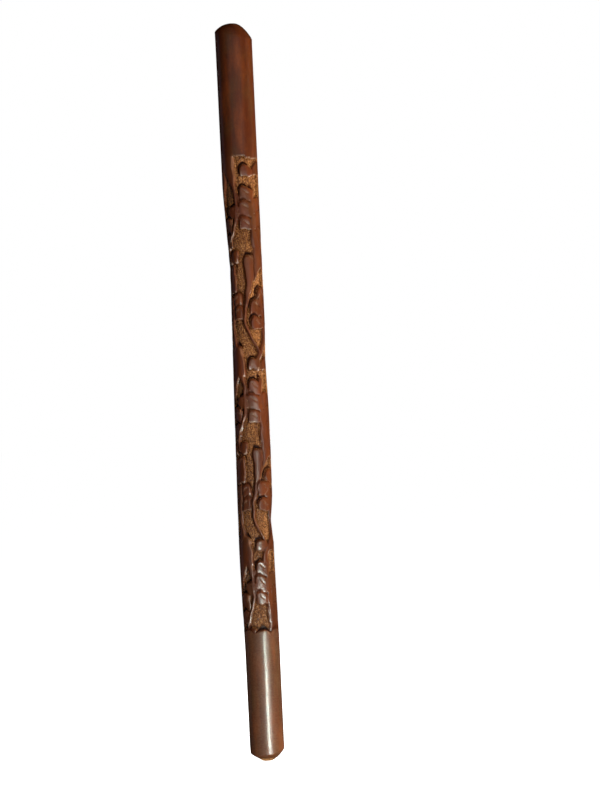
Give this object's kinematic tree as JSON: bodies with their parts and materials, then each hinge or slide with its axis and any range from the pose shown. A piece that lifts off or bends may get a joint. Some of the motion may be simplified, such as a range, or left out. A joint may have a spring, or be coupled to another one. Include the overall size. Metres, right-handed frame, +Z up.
{
  "type": "walking stick",
  "caption": "Straight round hardwood walking stick with a plain domed grip, a long band of carved buds and winding stems, and a plain foot with a set-in wear tip.",
  "frame": {"origin": "centre of the wear tip's flat ground face, at the foot of the stick", "axes": "+Z up along the stick, the front of the carving towards -Y, +X to the viewer's right"},
  "size_m": [0.0451, 0.045, 0.9],
  "materials": {
    "varnished_hardwood": "gloss varnish over dark red-brown stain",
    "bare_hardwood": "unvarnished, worn matt",
    "dowel_wood": "planed, unfinished"
  },
  "bodies": {
    "root": {"shaft": "varnished_hardwood", "foot_tip": "bare_hardwood", "tip_dowel": "dowel_wood", "grip_end_plug": "varnished_hardwood"}
  },
  "joints": []
}
